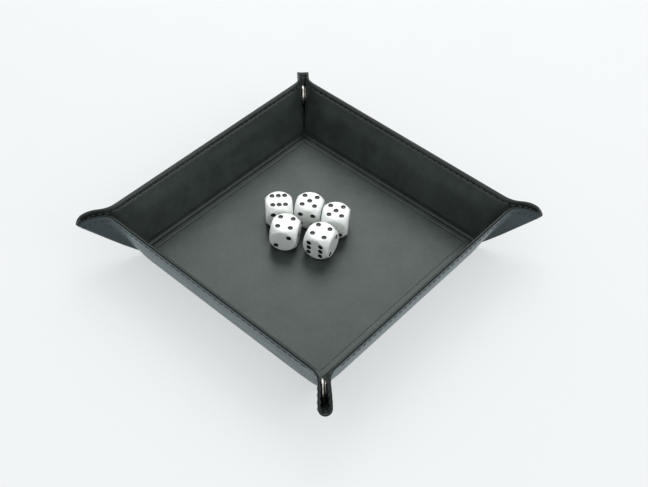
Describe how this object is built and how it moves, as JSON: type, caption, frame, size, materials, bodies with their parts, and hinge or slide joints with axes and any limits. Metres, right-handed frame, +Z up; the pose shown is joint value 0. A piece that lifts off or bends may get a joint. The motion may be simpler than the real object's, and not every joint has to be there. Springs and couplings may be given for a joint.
{
  "type": "folding dice tray with dice",
  "caption": "Square leatherette dice tray with snapped corner ears, stiffened floor and leaning walls, holding white pipped dice; opens out flat.",
  "frame": {"origin": "centre of the underside of the tray's floor", "axes": "+Z up; +X towards the right wall and +Y towards the back wall"},
  "size_m": [0.1912, 0.1912, 0.035],
  "materials": {
    "cover": "fine-grained dark grey leatherette, soft sheen",
    "liner": "fine-grained dark grey leatherette, matt",
    "board": "plain grey-brown stiffening board",
    "press_studs": "nickel-plated",
    "dice": "white, polished, black pips"
  },
  "bodies": {
    "floor": {"floor_cover": "cover", "floor_board": "board", "floor_liner": "liner"},
    "right_wall": {"right_wall_cover": "cover", "right_wall_board": "board", "right_wall_liner": "liner"},
    "back_wall": {"back_wall_cover": "cover", "back_wall_board": "board", "back_wall_liner": "liner"},
    "left_wall": {"left_wall_cover": "cover", "left_wall_board": "board", "left_wall_liner": "liner"},
    "front_wall": {"front_wall_cover": "cover", "front_wall_board": "board", "front_wall_liner": "liner"},
    "back_right_ear_a": {"back_right_ear_cover_a": "cover", "back_right_ear_liner_a": "liner", "back_right_snap_socket": "press_studs", "back_right_snap_cap": "press_studs"},
    "back_right_fold_a": {"back_right_ear_fold_a": "cover"},
    "back_right_ear_b": {"back_right_ear_cover_b": "cover", "back_right_ear_liner_b": "liner", "back_right_snap_stud": "press_studs", "back_right_snap_post": "press_studs"},
    "back_right_fold_b": {"back_right_ear_fold_b": "cover"},
    "back_left_ear_a": {"back_left_ear_cover_a": "cover", "back_left_ear_liner_a": "liner", "back_left_snap_stud": "press_studs", "back_left_snap_post": "press_studs"},
    "back_left_fold_a": {"back_left_ear_fold_a": "cover"},
    "back_left_ear_b": {"back_left_ear_cover_b": "cover", "back_left_ear_liner_b": "liner", "back_left_snap_socket": "press_studs", "back_left_snap_cap": "press_studs"},
    "back_left_fold_b": {"back_left_ear_fold_b": "cover"},
    "front_left_ear_a": {"front_left_ear_cover_a": "cover", "front_left_ear_liner_a": "liner", "front_left_snap_socket": "press_studs", "front_left_snap_cap": "press_studs"},
    "front_left_fold_a": {"front_left_ear_fold_a": "cover"},
    "front_left_ear_b": {"front_left_ear_cover_b": "cover", "front_left_ear_liner_b": "liner", "front_left_snap_stud": "press_studs", "front_left_snap_post": "press_studs"},
    "front_left_fold_b": {"front_left_ear_fold_b": "cover"},
    "front_right_ear_a": {"front_right_ear_cover_a": "cover", "front_right_ear_liner_a": "liner", "front_right_snap_socket": "press_studs", "front_right_snap_cap": "press_studs"},
    "front_right_fold_a": {"front_right_ear_fold_a": "cover"},
    "front_right_ear_b": {"front_right_ear_cover_b": "cover", "front_right_ear_liner_b": "liner", "front_right_snap_stud": "press_studs", "front_right_snap_post": "press_studs"},
    "front_right_fold_b": {"front_right_ear_fold_b": "cover"},
    "die_back_left": {"die_back_left": "dice"},
    "die_back_middle": {"die_back_middle": "dice"},
    "die_back_right": {"die_back_right": "dice"},
    "die_front_left": {"die_front_left": "dice"},
    "die_front_right": {"die_front_right": "dice"}
  },
  "joints": [
    {"name": "right_wall_fold", "type": "hinge", "parent": "floor", "child": "right_wall", "pos_m": [0.07, 0, 0.0016], "axis": [0, 1, 0], "range_deg": [0, 70]},
    {"name": "back_wall_fold", "type": "hinge", "parent": "floor", "child": "back_wall", "pos_m": [0, 0.07, 0.0016], "axis": [-1, 0, 0], "range_deg": [0, 70]},
    {"name": "left_wall_fold", "type": "hinge", "parent": "floor", "child": "left_wall", "pos_m": [-0.07, 0, 0.0016], "axis": [0, -1, 0], "range_deg": [0, 70]},
    {"name": "front_wall_fold", "type": "hinge", "parent": "floor", "child": "front_wall", "pos_m": [0, -0.07, 0.0016], "axis": [1, 0, 0], "range_deg": [0, 70]},
    {"name": "back_right_ear_a_bend", "type": "hinge", "parent": "right_wall", "child": "back_right_ear_a", "pos_m": [0.07, 0.07, 0.0016], "axis": [0.3444, 0.1974, 0.9178], "range_deg": [0, 51.19]},
    {"name": "back_right_fold_a_flatten", "type": "hinge", "parent": "back_right_ear_a", "child": "back_right_fold_a", "pos_m": [0.07, 0.07, 0.0016], "axis": [-0.6119, -0.4923, -0.619], "range_deg": [0, 89.94]},
    {"name": "back_right_ear_b_bend", "type": "hinge", "parent": "back_wall", "child": "back_right_ear_b", "pos_m": [0.07, 0.07, 0.0016], "axis": [-0.1974, -0.3444, -0.9178], "range_deg": [0, 51.19]},
    {"name": "back_right_fold_b_flatten", "type": "hinge", "parent": "back_right_ear_b", "child": "back_right_fold_b", "pos_m": [0.07, 0.07, 0.0016], "axis": [0.4923, 0.6119, 0.619], "range_deg": [0, 89.94]},
    {"name": "back_left_ear_a_bend", "type": "hinge", "parent": "back_wall", "child": "back_left_ear_a", "pos_m": [-0.07, 0.07, 0.0016], "axis": [-0.1974, 0.3444, 0.9178], "range_deg": [0, 51.19]},
    {"name": "back_left_fold_a_flatten", "type": "hinge", "parent": "back_left_ear_a", "child": "back_left_fold_a", "pos_m": [-0.07, 0.07, 0.0016], "axis": [0.4923, -0.6119, -0.619], "range_deg": [0, 89.94]},
    {"name": "back_left_ear_b_bend", "type": "hinge", "parent": "left_wall", "child": "back_left_ear_b", "pos_m": [-0.07, 0.07, 0.0016], "axis": [0.3444, -0.1974, -0.9178], "range_deg": [0, 51.19]},
    {"name": "back_left_fold_b_flatten", "type": "hinge", "parent": "back_left_ear_b", "child": "back_left_fold_b", "pos_m": [-0.07, 0.07, 0.0016], "axis": [-0.6119, 0.4923, 0.619], "range_deg": [0, 89.94]},
    {"name": "front_left_ear_a_bend", "type": "hinge", "parent": "left_wall", "child": "front_left_ear_a", "pos_m": [-0.07, -0.07, 0.0016], "axis": [-0.3444, -0.1974, 0.9178], "range_deg": [0, 51.19]},
    {"name": "front_left_fold_a_flatten", "type": "hinge", "parent": "front_left_ear_a", "child": "front_left_fold_a", "pos_m": [-0.07, -0.07, 0.0016], "axis": [0.6119, 0.4923, -0.619], "range_deg": [0, 89.94]},
    {"name": "front_left_ear_b_bend", "type": "hinge", "parent": "front_wall", "child": "front_left_ear_b", "pos_m": [-0.07, -0.07, 0.0016], "axis": [0.1974, 0.3444, -0.9178], "range_deg": [0, 51.19]},
    {"name": "front_left_fold_b_flatten", "type": "hinge", "parent": "front_left_ear_b", "child": "front_left_fold_b", "pos_m": [-0.07, -0.07, 0.0016], "axis": [-0.4923, -0.6119, 0.619], "range_deg": [0, 89.94]},
    {"name": "front_right_ear_a_bend", "type": "hinge", "parent": "front_wall", "child": "front_right_ear_a", "pos_m": [0.07, -0.07, 0.0016], "axis": [0.1974, -0.3444, 0.9178], "range_deg": [0, 51.19]},
    {"name": "front_right_fold_a_flatten", "type": "hinge", "parent": "front_right_ear_a", "child": "front_right_fold_a", "pos_m": [0.07, -0.07, 0.0016], "axis": [-0.4923, 0.6119, -0.619], "range_deg": [0, 89.94]},
    {"name": "front_right_ear_b_bend", "type": "hinge", "parent": "right_wall", "child": "front_right_ear_b", "pos_m": [0.07, -0.07, 0.0016], "axis": [-0.3444, 0.1974, -0.9178], "range_deg": [0, 51.19]},
    {"name": "front_right_fold_b_flatten", "type": "hinge", "parent": "front_right_ear_b", "child": "front_right_fold_b", "pos_m": [0.07, -0.07, 0.0016], "axis": [0.6119, -0.4923, 0.619], "range_deg": [0, 89.94]},
    {"name": "die_back_left_lift", "type": "slide", "parent": "floor", "child": "die_back_left", "axis": [0, 0, 1], "range_m": [0, 0.06]},
    {"name": "die_back_middle_lift", "type": "slide", "parent": "floor", "child": "die_back_middle", "axis": [0, 0, 1], "range_m": [0, 0.06]},
    {"name": "die_back_right_lift", "type": "slide", "parent": "floor", "child": "die_back_right", "axis": [0, 0, 1], "range_m": [0, 0.06]},
    {"name": "die_front_left_lift", "type": "slide", "parent": "floor", "child": "die_front_left", "axis": [0, 0, 1], "range_m": [0, 0.06]},
    {"name": "die_front_right_lift", "type": "slide", "parent": "floor", "child": "die_front_right", "axis": [0, 0, 1], "range_m": [0, 0.06]}
  ],
  "couplings": [
    {"joint": "back_wall_fold", "follows": "right_wall_fold", "ratio": 1},
    {"joint": "left_wall_fold", "follows": "right_wall_fold", "ratio": 1},
    {"joint": "front_wall_fold", "follows": "right_wall_fold", "ratio": 1},
    {"joint": "back_right_ear_a_bend", "follows": "right_wall_fold", "ratio": 0.73056},
    {"joint": "back_right_fold_a_flatten", "follows": "right_wall_fold", "ratio": 1.2841},
    {"joint": "back_right_ear_b_bend", "follows": "right_wall_fold", "ratio": 0.73056},
    {"joint": "back_right_fold_b_flatten", "follows": "right_wall_fold", "ratio": 1.2841},
    {"joint": "back_left_ear_a_bend", "follows": "right_wall_fold", "ratio": 0.73056},
    {"joint": "back_left_fold_a_flatten", "follows": "right_wall_fold", "ratio": 1.2841},
    {"joint": "back_left_ear_b_bend", "follows": "right_wall_fold", "ratio": 0.73056},
    {"joint": "back_left_fold_b_flatten", "follows": "right_wall_fold", "ratio": 1.2841},
    {"joint": "front_left_ear_a_bend", "follows": "right_wall_fold", "ratio": 0.73056},
    {"joint": "front_left_fold_a_flatten", "follows": "right_wall_fold", "ratio": 1.2841},
    {"joint": "front_left_ear_b_bend", "follows": "right_wall_fold", "ratio": 0.73056},
    {"joint": "front_left_fold_b_flatten", "follows": "right_wall_fold", "ratio": 1.2841},
    {"joint": "front_right_ear_a_bend", "follows": "right_wall_fold", "ratio": 0.73056},
    {"joint": "front_right_fold_a_flatten", "follows": "right_wall_fold", "ratio": 1.2841},
    {"joint": "front_right_ear_b_bend", "follows": "right_wall_fold", "ratio": 0.73056},
    {"joint": "front_right_fold_b_flatten", "follows": "right_wall_fold", "ratio": 1.2841}
  ]
}
